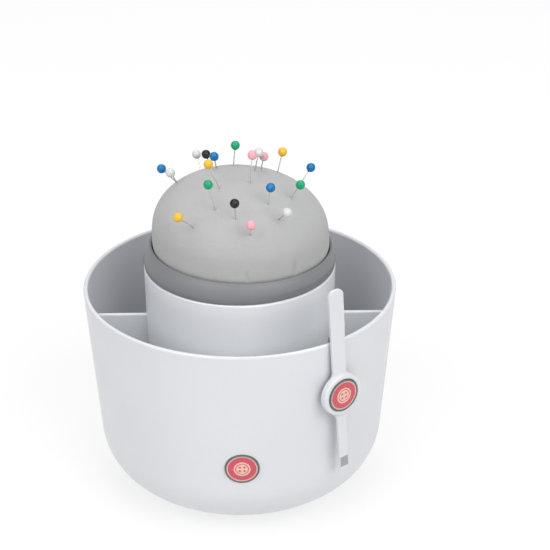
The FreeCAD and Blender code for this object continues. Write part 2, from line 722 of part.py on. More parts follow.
def make_wand_body():
    """Strip with a round top, a badge disc and a narrower stem, moulded in one."""
    back, thick = -dim("wand_standoff"), dim("wand_thick")
    front = back - thick
    width, stem = dim("wand_width"), dim("stem_width")
    disc_height, straight_top = -dim("disc_drop"), dim("wand_top") - width / 2
    body = new_body("wand_body")
    primitive(body, "AdditiveBox", "strip", (-width / 2, front, disc_height),
              Length=width, Width=thick, Height=straight_top - disc_height)
    primitive(body, "AdditiveBox", "stem", (-stem / 2, front, -dim("stem_end")),
              Length=stem, Width=thick, Height=dim("stem_end") + disc_height)
    facing(primitive(body, "AdditiveCylinder", "round_top", (ZERO, back, straight_top),
                     Radius=width / 2, Height=thick))
    facing(primitive(body, "AdditiveCylinder", "disc", (ZERO, back, disc_height),
                     Radius=dim("disc_radius"), Height=dim("disc_thick")))
    face = disc_face()

    def around_face(edge):
        return isinstance(edge.Curve, Part.Circle) and abs(edge.CenterOfMass.y - face.value) < 1e-3

    fillet(body, dim("disc_round"), around_face)
    facing(primitive(body, "SubtractiveCylinder", "badge_pocket",
                     (ZERO, face + dim("badge_sink"), disc_height),
                     Radius=dim("badge_radius"), Height=dim("badge_sink")))
    primitive(body, "SubtractiveBox", "tip_pocket",
              (-dim("tip_width") / 2, front, -dim("tip_start") - dim("tip_long")),
              Length=dim("tip_width"), Width=dim("tip_thick"), Height=dim("tip_long"))
    facing(primitive(body, "SubtractiveCylinder", "body_rivet_hole", (ZERO, back, dim("rivet_rise")),
                     Radius=dim("rivet_radius"), Height=thick / 2))
    register(body, "wand_body", wand_place())


def make_wand_tip():
    front = -dim("wand_standoff") - dim("wand_thick")
    body = new_body("wand_tip")
    primitive(body, "AdditiveBox", "tip",
              (-dim("tip_width") / 2, front, -dim("tip_start") - dim("tip_long")),
              Length=dim("tip_width"), Width=dim("tip_thick"), Height=dim("tip_long"))
    register(body, "wand_tip", wand_place())


def make_wand_hook():
    """A bent strip: a tab on the back of the wand, a bridge over the rim and a leg inside the wall."""
    back, thick = -dim("wand_standoff"), dim("hook_thick")
    leg, far = dim("hook_reach"), dim("hook_reach") + dim("hook_leg_thick")
    under, low, high = dim("hook_gap"), -dim("hook_drop"), dim("hook_rise")
    body = padded_outline("wand_hook", "YZ_Plane",
                          [(back, under), (leg, under), (leg, low), (far, low), (far, under + thick),
                           (back + thick, under + thick), (back + thick, high), (back, high)],
                          dim("hook_width"))
    facing(primitive(body, "SubtractiveCylinder", "hook_rivet_hole",
                     (ZERO, back + thick, dim("rivet_rise")),
                     Radius=dim("rivet_radius"), Height=thick))
    register(body, "wand_hook", wand_place())


def make_hook_rivet():
    back, thick = -dim("wand_standoff"), dim("hook_thick")
    body = new_body("hook_rivet")
    facing(primitive(body, "AdditiveCylinder", "rivet", (ZERO, back + thick, dim("rivet_rise")),
                     Radius=dim("rivet_radius"), Height=thick + dim("wand_thick") / 2))
    register(body, "hook_rivet", wand_place())


def wand_badge_place():
    centre = Vector(0, disc_face().value, -dim("disc_drop").value)
    return wand_place().multiply(Placement(centre, Rotation(Vector(1, 0, 0), FACE_FRONT)))


# ---------------------------------------------------------------- build and export

def build():
    make_base_plate()
    make_rubber_feet()
    make_race("lower_race", dim("lower_race_in"), dim("lower_race_out"), dim("base_top"),
              dim("lower_screw_orbit"))
    make_race_screws("lower_race_screws", dim("lower_screw_orbit"), dim("base_top") + dim("race_thick"),
                     head_up=True)
    make_pivot_post()
    make_retaining_washer()
    make_retaining_screw()
    make_ball_cage()
    make_bearing_balls()
    make_race("upper_race", dim("upper_race_in"), dim("upper_race_out"), dim("upper_race_under"),
              dim("upper_screw_orbit"))
    make_race_screws("upper_race_screws", dim("upper_screw_orbit"), dim("upper_race_under"), head_up=False)
    make_hub_bush()
    make_hub_cap()
    make_tub_shell()
    make_centre_cup()
    make_cup_screws()
    make_divider("right_divider", 0)
    make_divider("left_divider", 180)
    make_badge("tub_badge", tub_badge_place())
    make_collar()
    make_cushion_board()
    make_board_screws()
    make_cushion()
    make_pins()
    make_wand_body()
    make_wand_tip()
    make_wand_hook()
    make_hook_rivet()
    make_badge("wand_badge", wand_badge_place())
    doc.recompute()


def check():
    """Stops before anything is written if a feature failed or a sub-part has no sound shape."""
    for thing in doc.Objects:
        if "Invalid" in thing.State or "Error" in thing.State:
            raise RuntimeError(f"{thing.Label}: {thing.State}")
    for part in subparts:
        if part.Shape.isNull() or not part.Shape.isValid() or not part.Shape.Solids:
            raise RuntimeError(f"{part.Label}: its shape isn't sound")


def export():
    os.makedirs("parts", exist_ok=True)
    for part in subparts:
        part.Shape.exportStep(os.path.join("parts", part.Label + ".step"))
        box = part.Shape.BoundBox
        print(f"{part.Label:20s} solids {len(part.Shape.Solids):2d}  volume {part.Shape.Volume:10.1f}"
              f"  z {box.ZMin:7.2f} to {box.ZMax:7.2f}")


build()
check()
export()
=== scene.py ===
"""Looks of the round desk caddy on a turntable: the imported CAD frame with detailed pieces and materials.

Metres, in the frame of the CAD model: +Z up, the floor at Z = 0, the turning axis on Z, the front to -Y.
"""

import json
import math

import bmesh
import bpy
from mathutils import Matrix, Vector, noise


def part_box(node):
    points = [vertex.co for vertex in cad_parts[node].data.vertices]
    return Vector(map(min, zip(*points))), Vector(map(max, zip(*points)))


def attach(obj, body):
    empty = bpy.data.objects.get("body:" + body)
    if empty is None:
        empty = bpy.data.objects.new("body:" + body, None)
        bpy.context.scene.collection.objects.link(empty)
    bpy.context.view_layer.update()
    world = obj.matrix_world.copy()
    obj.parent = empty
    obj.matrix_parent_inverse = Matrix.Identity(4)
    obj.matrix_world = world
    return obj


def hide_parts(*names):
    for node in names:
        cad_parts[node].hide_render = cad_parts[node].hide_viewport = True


MM = 0.001
CREASE = math.radians(40)
ORIGIN = Matrix.Identity(4)

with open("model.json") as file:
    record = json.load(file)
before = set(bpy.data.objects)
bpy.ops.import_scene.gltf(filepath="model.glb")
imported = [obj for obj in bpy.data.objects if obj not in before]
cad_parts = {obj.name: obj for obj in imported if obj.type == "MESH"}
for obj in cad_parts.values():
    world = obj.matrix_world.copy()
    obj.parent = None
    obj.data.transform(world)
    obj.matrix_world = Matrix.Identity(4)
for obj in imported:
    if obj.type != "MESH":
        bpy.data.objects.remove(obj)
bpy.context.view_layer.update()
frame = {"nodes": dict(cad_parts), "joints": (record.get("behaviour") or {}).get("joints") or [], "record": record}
for plain in list(bpy.data.materials):
    bpy.data.materials.remove(plain)

RIM_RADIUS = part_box("tub_shell")[1].x
RIM_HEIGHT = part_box("tub_shell")[1].z
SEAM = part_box("collar")[1].z
CUSHION_FLOOR, CUSHION_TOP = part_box("cushion")[0].z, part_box("cushion")[1].z
CUSHION_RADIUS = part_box("cushion")[1].x
CUSHION_CROWN = 28.8 * MM
CUSHION_WAIST = CUSHION_TOP - CUSHION_CROWN
CUSHION_UNDER = 34.0 * MM
CUSHION_SQUARENESS = 2.2
THREAD_PITCH = 0.62 * MM
THREAD_RADIUS = 37.0 * MM

# ---------------------------------------------------------------- materials


class Surface:
    """A Principled material, built up in small steps from procedural patterns in the piece's own space."""

    def __init__(self, name, colour, **settings):
        self.material = bpy.data.materials.new(name)
        self.material.use_nodes = True
        self.nodes = self.material.node_tree.nodes
        self.links = self.material.node_tree.links
        self.shader = self.nodes["Principled BSDF"]
        for socket, value in settings.items():
            self.shader.inputs[socket.replace("_", " ")].default_value = value
        self.colour = (*colour, 1.0)
        self.shader.inputs["Base Color"].default_value = self.colour
        self.normal = None
        self.place = self.add("ShaderNodeTexCoord").outputs["Object"]

    def add(self, kind, **properties):
        node = self.nodes.new(kind)
        for name, value in properties.items():
            setattr(node, name, value)
        return node

    def feed(self, socket, value):
        """Links an output to a socket, or sets the socket to a plain value."""
        if isinstance(value, bpy.types.NodeSocket):
            self.links.new(value, socket)
        else:
            socket.default_value = value

    def maths(self, operation, *values):
        """The output of a maths node that is fed with the values."""
        node = self.add("ShaderNodeMath", operation=operation)
        for socket, value in zip(node.inputs, values):
            self.feed(socket, value)
        return node.outputs[0]

    def stretched(self, scale):
        """The piece's coordinates, scaled along X, Y and Z."""
        node = self.add("ShaderNodeMapping")
        self.feed(node.inputs["Vector"], self.place)
        node.inputs["Scale"].default_value = scale
        return node.outputs[0]

    def noise(self, size, detail=2.0, stretch=(1, 1, 1)):
        """Cloudy pattern from 0 to 1 whose features are about size metres across."""
        node = self.add("ShaderNodeTexNoise")
        self.feed(node.inputs["Vector"], self.stretched(stretch))
        node.inputs["Scale"].default_value = 1 / size
        node.inputs["Detail"].default_value = detail
        return node.outputs["Fac"]

    def cells(self, size):
        """Pattern of cells of about size metres, rising from 0 at each cell's middle."""
        node = self.add("ShaderNodeTexVoronoi")
        self.feed(node.inputs["Vector"], self.place)
        node.inputs["Scale"].default_value = 1 / size
        return node.outputs["Distance"]

    def spread(self, factor, low, high, start=0.35, end=0.65):
        """Takes the band of a pattern from start to end to the values from low to high."""
        node = self.add("ShaderNodeMapRange")
        self.feed(node.inputs["Value"], factor)
        for name, value in (("From Min", start), ("From Max", end), ("To Min", low), ("To Max", high)):
            node.inputs[name].default_value = value
        return node.outputs["Result"]

    def tint(self, factor, colour):
        """Mixes another colour in by a factor from 0 to 1."""
        node = self.add("ShaderNodeMix", data_type="RGBA")
        before, after = [socket for socket in node.inputs if socket.type == "RGBA"]
        self.feed(node.inputs["Factor"], factor)
        self.feed(before, self.colour)
        after.default_value = (*colour, 1.0)
        self.colour = next(socket for socket in node.outputs if socket.type == "RGBA")
        self.feed(self.shader.inputs["Base Color"], self.colour)

    def rough(self, factor, low, high, start=0.35, end=0.65):
        """Takes the roughness from low to high over the band of a pattern."""
        self.feed(self.shader.inputs["Roughness"], self.spread(factor, low, high, start, end))

    def bump(self, height, depth):
        """Raises the surface by up to depth metres where height goes from 0 to 1."""
        node = self.add("ShaderNodeBump")
        node.inputs["Distance"].default_value = depth
        self.feed(node.inputs["Height"], height)
        if self.normal is not None:
            self.feed(node.inputs["Normal"], self.normal)
        self.normal = node.outputs[0]
        self.feed(self.shader.inputs["Normal"], self.normal)


def shade(colour, share):
    """A colour made darker, or lighter if share is above 1."""
    return tuple(channel * share for channel in colour)


def moulded_plastic(name, colour, gloss, grain, depth, **settings):
    """Moulded plastic: a fine grain from the mould, slow changes of tone, and handling marks in the gloss."""
    surface = Surface(name, colour, **settings)
    surface.tint(surface.spread(surface.noise(60 * MM), 0.0, 1.0), shade(colour, 0.975))
    surface.tint(surface.spread(surface.noise(1.1 * MM), 0.0, 0.35, 0.60, 0.75), shade(colour, 0.9))
    surface.rough(surface.noise(18 * MM, 4.0), gloss, gloss + 0.10)
    surface.bump(surface.noise(grain, 1.0), depth)
    surface.bump(surface.noise(grain * 9, 1.0), depth * 2)
    return surface


def knit_fabric(name, colour):
    """Fine knitted cover: threads that run over the dome from its crown, loose fibres and a soft sheen."""
    surface = Surface(name, colour, Roughness=0.9, Sheen_Weight=0.18, Sheen_Roughness=0.45)
    split = surface.add("ShaderNodeSeparateXYZ")
    surface.feed(split.inputs[0], surface.place)
    across, deep, up = split.outputs
    square = surface.maths("ADD", surface.maths("MULTIPLY", across, across),
                           surface.maths("MULTIPLY", deep, deep))
    radius = surface.maths("SQRT", square)
    height = surface.maths("SUBTRACT", up, CUSHION_WAIST)
    round_height = surface.maths("MULTIPLY", height, CUSHION_RADIUS / CUSHION_CROWN)
    run = surface.maths("MULTIPLY", surface.maths("ARCTAN2", radius, round_height), THREAD_RADIUS)
    unroll = surface.maths("DIVIDE", run, surface.maths("MAXIMUM", radius, 0.01 * MM))
    waves = []
    for way in (across, deep):
        turns = surface.maths("MULTIPLY", surface.maths("MULTIPLY", way, unroll), math.tau / THREAD_PITCH)
        waves.append(surface.maths("SINE", turns))
    weave = surface.maths("MULTIPLY", *waves)
    surface.bump(surface.maths("MULTIPLY_ADD", weave, 0.5, 0.5), 0.07 * MM)
    surface.bump(surface.noise(0.5 * MM, 3.0), 0.10 * MM)
    surface.bump(surface.noise(9 * MM, 2.0), 0.25 * MM)
    surface.tint(surface.spread(weave, 0.0, 0.16, -1.0, 1.0), shade(colour, 0.72))
    surface.tint(surface.spread(surface.noise(0.9 * MM, 4.0), 0.0, 0.3), shade(colour, 0.85))
    surface.tint(surface.spread(surface.noise(20 * MM, 2.0), 0.0, 0.3), shade(colour, 0.93))
    return surface


def brushed_metal(name, colour, gloss, stretch, scratch=0.25 * MM):
    """Metal with fine lines along its length, and stains in the gloss."""
    surface = Surface(name, colour, Metallic=1.0, Anisotropic=0.3)
    lines = surface.noise(scratch, 2.0, stretch)
    surface.tint(surface.spread(surface.noise(4 * MM, 3.0), 0.0, 0.5), shade(colour, 0.8))
    surface.tint(surface.spread(lines, 0.0, 0.3), shade(colour, 0.85))
    surface.rough(lines, gloss, gloss + 0.12)
    surface.bump(lines, 0.006 * MM)
    return surface


def zinc_plate(name, colour):
    """Zinc plating: dull crystals of slightly different tone."""
    surface = Surface(name, colour, Metallic=1.0)
    surface.tint(surface.spread(surface.cells(0.7 * MM), 0.0, 0.5, 0.1, 0.6), shade(colour, 0.72))
    surface.rough(surface.noise(0.6 * MM, 3.0), 0.28, 0.45)
    surface.bump(surface.noise(0.3 * MM), 0.008 * MM)
    return surface


def enamel(name, colour, gloss):
    """Fired enamel under a clear gloss, with a faint speckle."""
    surface = Surface(name, colour, Coat_Weight=0.35, Coat_Roughness=0.12)
    surface.tint(surface.spread(surface.noise(0.4 * MM, 3.0), 0.0, 0.5), shade(colour, 0.82))
    surface.rough(surface.noise(1.5 * MM, 3.0), gloss, gloss + 0.12)
    surface.bump(surface.noise(1.8 * MM), 0.02 * MM)
    return surface


def glass_head(name, colour):
    """A ball head: softly glossy, cloudy inside, slightly uneven."""
    surface = Surface(name, colour, Coat_Weight=0.2, Coat_Roughness=0.04, Specular_IOR_Level=0.2)
    surface.tint(surface.spread(surface.noise(2.2 * MM, 3.0), 0.0, 0.4), shade(colour, 0.75))
    surface.tint(surface.spread(surface.noise(1.2 * MM, 2.0), 0.0, 0.04, 0.5, 0.8), (0.9, 0.9, 0.9))
    surface.rough(surface.noise(1.6 * MM, 3.0), 0.10, 0.24)
    surface.bump(surface.noise(1.4 * MM), 0.03 * MM)
    return surface


def rubber(name, colour):
    """Moulded rubber: dull, a little dusty."""
    surface = Surface(name, colour, Roughness=0.8, Specular_IOR_Level=0.3)
    surface.tint(surface.spread(surface.noise(1 * MM, 3.0), 0.0, 0.5), shade(colour, 1.5))
    surface.rough(surface.noise(2 * MM, 3.0), 0.65, 0.85)
    surface.bump(surface.noise(0.4 * MM, 2.0), 0.04 * MM)
    return surface


def board(name, colour):
    """Grey board with short fibres."""
    surface = Surface(name, colour, Roughness=0.9)
    fibres = surface.noise(0.6 * MM, 4.0, (1, 0.25, 1))
    surface.tint(surface.spread(fibres, 0.0, 0.7), shade(colour, 0.7))
    surface.bump(fibres, 0.05 * MM)
    return surface


WHITE = (0.615, 0.628, 0.655)
HEADS = {
    "blue": (0.0, 0.149, 0.397),
    "white": (0.61, 0.61, 0.61),
    "black": (0.012, 0.012, 0.014),
    "yellow": (0.75, 0.443, 0.032),
    "green": (0.0, 0.325, 0.146),
    "pink": (0.78, 0.357, 0.427),
}


def make_materials():
    """One material for each slot of the record, and one for the pieces inside the tub: the tub's white painted
    lighter, as painted light for the shade inside the tub.
    """
    made = [
        moulded_plastic("tub_white", WHITE, 0.30, 0.9 * MM, 0.006 * MM),
        # The tub's white painted 17 per cent lighter: painted light for the pieces that sit in the tub's shade.
        moulded_plastic("insert_white_painted_lighter", shade(WHITE, 1.17), 0.30, 0.9 * MM, 0.006 * MM),
        moulded_plastic("wand_white", WHITE, 0.34, 0.6 * MM, 0.006 * MM),
        moulded_plastic("collar_grey", (0.188, 0.191, 0.201), 0.42, 0.4 * MM, 0.014 * MM),
        moulded_plastic("black_plastic", (0.018, 0.018, 0.020), 0.45, 0.4 * MM, 0.03 * MM),
        moulded_plastic("bush_nylon", (0.68, 0.66, 0.58), 0.35, 0.7 * MM, 0.01 * MM, Subsurface_Weight=0.1),
        moulded_plastic("tip_grey", (0.30, 0.31, 0.32), 0.5, 0.3 * MM, 0.04 * MM),
        knit_fabric("cushion_fabric", (0.40, 0.40, 0.403)),
        board("board_card", (0.36, 0.33, 0.28)),
        rubber("foot_rubber", (0.016, 0.016, 0.016)),
        brushed_metal("race_steel", (0.58, 0.58, 0.58), 0.25, (1, 1, 0.1)),
        brushed_metal("hook_steel", (0.62, 0.62, 0.63), 0.28, (1, 1, 0.05)),
        brushed_metal("pin_steel", (0.80, 0.80, 0.80), 0.25, (1, 1, 0.05), 0.2 * MM),
        brushed_metal("ball_chrome", (0.75, 0.75, 0.76), 0.06, (1, 1, 1), 0.5 * MM),
        zinc_plate("screw_steel", (0.60, 0.60, 0.58)),
        enamel("badge_bezel", (0.085, 0.095, 0.075), 0.32),
        enamel("badge_band", (0.66, 0.39, 0.37), 0.22),
        enamel("badge_enamel", (0.53, 0.055, 0.085), 0.18),
        enamel("badge_emblem", (0.74, 0.44, 0.36), 0.22),
    ]
    made += [glass_head("head_" + name, colour) for name, colour in HEADS.items()]
    return {surface.material.name: surface.material for surface in made}


MATERIALS = make_materials()

# ---------------------------------------------------------------- mesh tools


def rounded(corners, steps=5):
    """A closed outline from (across, up, rounding) corners, each rounded corner as an arc."""
    outline = []
    count = len(corners)
    for i, (across, up, radius) in enumerate(corners):
        here = Vector((across, up))
        if radius == 0:
            outline.append(here)
            continue
        back = (Vector(corners[i - 1][:2]) - here).normalized()
        on = (Vector(corners[(i + 1) % count][:2]) - here).normalized()
        half = back.angle(on) / 2
        centre = here + (back + on).normalized() * (radius / math.sin(half))
        first = here + back * (radius / math.tan(half)) - centre
        sweep = first.angle_signed(here + on * (radius / math.tan(half)) - centre)
        for step in range(steps + 1):
            outline.append(centre + Matrix.Rotation(-sweep * step / steps, 2) @ first)
    return outline


def add_turned(bm, outline, place=ORIGIN, steps=96):
    """Adds the solid turned about the Z axis of place from a closed (radius, height) outline."""
    rings = []
    for radius, height in outline:
        if radius < 1e-7:
            rings.append([bm.verts.new(place @ Vector((0, 0, height)))])
            continue
        ring = []
        for step in range(steps):
            angle = math.tau * step / steps
            point = Vector((radius * math.cos(angle), radius * math.sin(angle), height))
            ring.append(bm.verts.new(place @ point))
        rings.append(ring)
    for lower, upper in zip(rings, rings[1:] + rings[:1]):
        if len(lower) == 1 and len(upper) == 1:
            continue
        for step in range(steps):
            loop = []
            for ring, index in ((lower, step), (lower, step + 1), (upper, step + 1), (upper, step)):
                vert = ring[index % len(ring)]
                if vert not in loop:
                    loop.append(vert)
            bm.faces.new(loop)


def finished(bm, name, crease=CREASE):
    """A linked object from a bmesh, smooth except where it turns more sharply than crease."""
    bmesh.ops.recalc_face_normals(bm, faces=bm.faces)
    mesh = bpy.data.meshes.new(name)
    bm.to_mesh(mesh)
    bm.free()
    return linked(mesh, name, crease)


def linked(mesh, name, crease=CREASE):
    """A linked object from a mesh, smooth except where it turns more sharply than crease."""
    mesh.shade_smooth()
    mesh.set_sharp_from_angle(angle=crease)
    piece = bpy.data.objects.new(name, mesh)
    bpy.context.scene.collection.objects.link(piece)
    return piece


def turned(name, outline, place=ORIGIN, steps=96):
    """An object turned about the Z axis of place."""
    bm = bmesh.new()
    add_turned(bm, outline, place, steps)
    return finished(bm, name)


def plate_mesh(outlines, thickness, place, bevel=0.0):
    """A flat plate centred on the XY plane of place: the first outline, less the others, edges rounded."""
    curve = bpy.data.curves.new("plate", "CURVE")
    curve.dimensions = "2D"
    curve.fill_mode = "BOTH"
    curve.extrude = thickness / 2 - bevel
    curve.bevel_depth = bevel
    curve.bevel_resolution = 3
    curve.offset = -bevel
    for outline in outlines:
        spline = curve.splines.new("POLY")
        spline.points.add(len(outline) - 1)
        for point, (across, up) in zip(spline.points, outline):
            point.co = (across, up, 0, 1)
        spline.use_cyclic_u = True
    holder = bpy.data.objects.new("plate", curve)
    mesh = bpy.data.meshes.new_from_object(holder)
    bpy.data.objects.remove(holder)
    bpy.data.curves.remove(curve)
    bm = bmesh.new()
    bm.from_mesh(mesh)
    bmesh.ops.remove_doubles(bm, verts=bm.verts, dist=1e-6)
    bm.transform(place)
    bmesh.ops.recalc_face_normals(bm, faces=bm.faces)
    bm.to_mesh(mesh)
    bm.free()
    return mesh


def circle(radius, centre=(0, 0), steps=48):
    """A closed round outline."""
    angles = [math.tau * step / steps for step in range(steps)]
    return [(centre[0] + radius * math.cos(a), centre[1] + radius * math.sin(a)) for a in angles]


def with_modifiers(piece, *settings):
    """Applies modifiers, each given as (kind, properties), to a piece's mesh."""
    for kind, properties in settings:
        modifier = piece.modifiers.new(kind.lower(), kind)
        for name, value in properties.items():
            setattr(modifier, name, value)
    shaped = piece.evaluated_get(bpy.context.evaluated_depsgraph_get())
    mesh = bpy.data.meshes.new_from_object(shaped)
    piece.modifiers.clear()
    old, piece.data = piece.data, mesh
    name = old.name
    bpy.data.meshes.remove(old)
    mesh.name = name
    return piece


def settle(piece, body, slot, *nodes):
    """Gives a piece its material, its body and the CAD nodes that it stands for."""
    piece.data.materials.clear()
    piece.data.materials.append(MATERIALS[slot])
    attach(piece, body)
    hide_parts(*nodes)
    return piece


# ---------------------------------------------------------------- places read from the frame


def solids_of(node):
    """The corner points of each separate solid of a CAD node."""
    bm = bmesh.new()
    bm.from_mesh(frame["nodes"][node].data)
    bmesh.ops.remove_doubles(bm, verts=bm.verts, dist=1e-6)
    waiting = set(bm.verts)
    solids = []
    while waiting:
        front = [waiting.pop()]
        solid = []
        while front:
            vert = front.pop()
            solid.append(vert.co.copy())
            for edge in vert.link_edges:
                other = edge.other_vert(vert)
                if other in waiting:
                    waiting.remove(other)
                    front.append(other)
        solids.append(solid)
    bm.free()
    return sorted(solids, key=lambda points: tuple(middle_of(points)))


def middle_of(points):
    """Centre of the points' box."""
    return Vector([(min(p[i] for p in points) + max(p[i] for p in points)) / 2 for i in range(3)])


def mean_of(points):
    """Average of the points."""
    return sum(points, Vector()) / len(points)


def ends_of(points):
    """The two end centres of a slim straight solid, the lower one first."""
    centre = mean_of(points)
    tip = max(points, key=lambda p: (p - centre).length)
    near = [p for p in points if (p - centre).dot(tip - centre) > 0]
    far = [p for p in points if (p - centre).dot(tip - centre) <= 0]
    return sorted((mean_of(near), mean_of(far)), key=lambda p: p.z)


def measured(node, place):
    """A CAD node's box in the axes of place."""
    to_place = place.inverted()
    points = [to_place @ v.co for v in frame["nodes"][node].data.vertices]
    low = Vector([min(p[i] for p in points) for i in range(3)])
    high = Vector([max(p[i] for p in points) for i in range(3)])
    return low, high


def axes(across, deep, up, origin):
    """A frame from its three axes and its origin."""
    turn = Matrix((across, deep, up)).transposed().to_4x4()
    return Matrix.Translation(origin) @ turn


def wand_place():
    """The wand's own frame: origin on the rim's outer edge, +Z up along the strip, -Y away from the wall."""
    up = Vector(next(joint["axis"] for joint in frame["joints"] if joint["name"] == "wand_lift")).normalized()
    azimuth = math.atan2(-up.y, -up.x)
    outward = Vector((math.sin(azimuth), -math.cos(azimuth), 0))
    on_rim = outward * RIM_RADIUS + Vector((0, 0, RIM_HEIGHT))
    return axes(up.cross(outward), -outward, up, on_rim)


WAND = wand_place()

# ---------------------------------------------------------------- badges


def badge_place(prefix, up):
    """A badge's frame: +Z out of its face, +Y upwards, origin in the middle of the bezel's top."""
    facet = max(frame["nodes"][prefix + "_field"].data.polygons, key=lambda polygon: polygon.area)
    face = facet.normal.copy()
    if face.dot(Vector((facet.center.x, facet.center.y, 0))) < 0:
        face = -face
    across = up.cross(face).normalized()
    turn = axes(across, face.cross(across), face, Vector())
    low, high = measured(prefix + "_bezel", turn)
    return turn @ Matrix.Translation(((low.x + high.x) / 2, (low.y + high.y) / 2, high.z))


def make_badge(prefix, body, up):
    """A round enamel badge: dark bezel, pale band, domed crimson field and a raised button emblem."""
    place = badge_place(prefix, up)
    low, high = measured(prefix + "_bezel", place)
    edge, back = high.x, low.z
    face = measured(prefix + "_band", place)[1].z
    band_edge = measured(prefix + "_band", place)[1].x
    field_edge = measured(prefix + "_field", place)[1].x
    soft = 0.3 * MM

    bezel = rounded([(band_edge, back, 0), (edge, back, 0), (edge, 0, soft), (band_edge, 0, soft)], 6)
    settle(turned(prefix + "_bezel_ring", bezel, place), body, "badge_bezel", prefix + "_bezel")

    inner, middle = field_edge + 0.05 * MM, (band_edge + field_edge) / 2
    band = [(inner, back), (band_edge, back), (band_edge, face - 0.05 * MM), (middle, face + 0.04 * MM),
            (inner, face - 0.05 * MM)]
    settle(turned(prefix + "_band_ring", band, place), body, "badge_band", prefix + "_band")

    dome, rings = 0.14 * MM, 10
    field = [(0, back), (field_edge, back)]
    for ring in range(rings, -1, -1):
        radius = field_edge * ring / rings
        field.append((radius, face - 0.04 * MM + dome * (1 - (ring / rings) ** 2)))
    settle(turned(prefix + "_enamel_field", field, place), body, "badge_enamel", prefix + "_field")

    button = measured(prefix + "_emblem", place)[1].x
    base, proud = face + dome - 0.12 * MM, 0.22 * MM
    rim_in, plate_edge = button * 0.80, button * 0.70
    bm = bmesh.new()
    ring = rounded([(rim_in, base, 0), (button, base, 0), (button, base + proud, 0.10 * MM),
                    (rim_in, base + proud, 0.10 * MM)])
    add_turned(bm, ring, place)
    holes = [circle(0.55 * MM, (1.05 * MM * x, 1.05 * MM * y), 24) for x in (-1, 1) for y in (-1, 1)]
    lift = Matrix.Translation((0, 0, base + proud / 2))
    bm.from_mesh(plate_mesh([circle(plate_edge)] + holes, proud, place @ lift, 0.06 * MM))
    settle(finished(bm, prefix + "_button_emblem"), body, "badge_emblem", prefix + "_emblem")


# ---------------------------------------------------------------- pincushion lid


LID_UNDER = 114.6 * MM
LID_SHIFT = 0.7 * MM
LID_TILT = math.radians(1.2)


def askew(point):
    """The lid sits a little crooked on the cup: its upper edge is off centre, and lower on the right."""
    share = min(1, max(0, (point.z - LID_UNDER) / (SEAM - LID_UNDER)))
    return Vector((LID_SHIFT, 0, -point.x * math.tan(LID_TILT))) * share


def make_collar():
    """The grey ring under the cushion: bulged outside, with a floor and a skirt that plugs into the cup."""
    under, top = LID_UNDER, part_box("collar")[1].z
    plug_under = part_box("collar")[0].z
    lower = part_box("collar")[1].x
    upper, mouth, plug, plug_in = 43.7 * MM, 42.3 * MM, 43.4 * MM, 41.8 * MM
    floor_under, floor_top = 116.0 * MM, 118.0 * MM
    edge = 0.45 * MM
    bulge, steps = 0.9 * MM, 12
    start, end = Vector((lower, under + edge)), Vector((upper, top - edge))
    run = end - start
    side = Vector((run.y, -run.x)).normalized()
    outside = []
    for step in range(steps + 1):
        share = step / steps
        point = start + run * share + side * (4 * bulge * share * (1 - share))
        outside.append((point.x, point.y))
    lip = rounded([(plug, under, 0), (lower, under, edge), (lower, top, 0)], 4)[1:-1]
    brow = rounded([(upper, under, 0), (upper, top, edge), (mouth, top, edge), (mouth, under, 0)], 4)[1:-1]
    outline = [(0, floor_under), (plug_in, floor_under), (plug_in, plug_under + 0.3 * MM),
               (plug_in + 0.3 * MM, plug_under), (plug - 0.5 * MM, plug_under), (plug, plug_under + 0.8 * MM),
               (plug, under)]
    outline += [tuple(p) for p in lip] + outside[1:-1] + [tuple(p) for p in brow]
    outline += [(mouth, floor_top + 0.6 * MM), (mouth - 0.6 * MM, floor_top), (0, floor_top)]
    piece = turned("lid_collar", outline, steps=160)
    for vert in piece.data.vertices:
        if vert.co.z > floor_top:
            vert.co += askew(vert.co)
    settle(piece, "pincushion", "collar_grey", "collar")


def crowned(direction):
    """The point of the cushion in a direction from the middle of its waist: a dome with full shoulders."""
    level = math.hypot(direction.x, direction.y)
    power = 2 / CUSHION_SQUARENESS
    out = CUSHION_RADIUS * level ** power
    half = CUSHION_CROWN if direction.z > 0 else -CUSHION_UNDER
    height = CUSHION_WAIST + half * abs(direction.z) ** power
    spoke = Vector((direction.x, direction.y, 0)).normalized() * out if level > 0 else Vector()
    return spoke + Vector((0, 0, max(height, CUSHION_FLOOR + 0.3 * MM)))


def even_ball(cuts):
    """A ball of nearly even squares with radius 1, as a bmesh."""
    bm = bmesh.new()
    bmesh.ops.create_cube(bm, size=2)
    bmesh.ops.subdivide_edges(bm, edges=bm.edges, cuts=cuts, use_grid_fill=True)
    for vert in bm.verts:
        bend = [math.tan(c * math.pi / 4) for c in vert.co]
        vert.co = Vector(bend).normalized()
    return bm


def outward(point):
    """Unit direction out of the dome at a point near it."""
    flat = Vector((point.x, point.y, 0)) / CUSHION_RADIUS ** 2
    rise = (point.z - CUSHION_WAIST) / CUSHION_CROWN ** 2
    return (flat + Vector((0, 0, rise))).normalized()


def fade(distance, reach):
    """Falls smoothly from 1 at distance 0 to almost 0 at reach."""
    return math.exp(-4 * (distance / reach) ** 2)


# Creases in the cover where it is sewn in: degrees from the front towards +X, then half width, length and
# depth in millimetres.
CREASES = [
    (36, 0.8, 8.5, 0.9),
    (4, 0.7, 6.5, 0.7),
    (-22, 1.0, 4.0, 0.2),
    (-43, 0.9, 5.0, 0.25),
    (68, 0.9, 6.0, 0.35),
    (-76, 1.0, 5.0, 0.3),
    (104, 0.9, 6.0, 0.35),
    (142, 0.8, 5.0, 0.35),
    (-118, 0.9, 6.0, 0.35),
    (-158, 0.8, 5.0, 0.3),
]


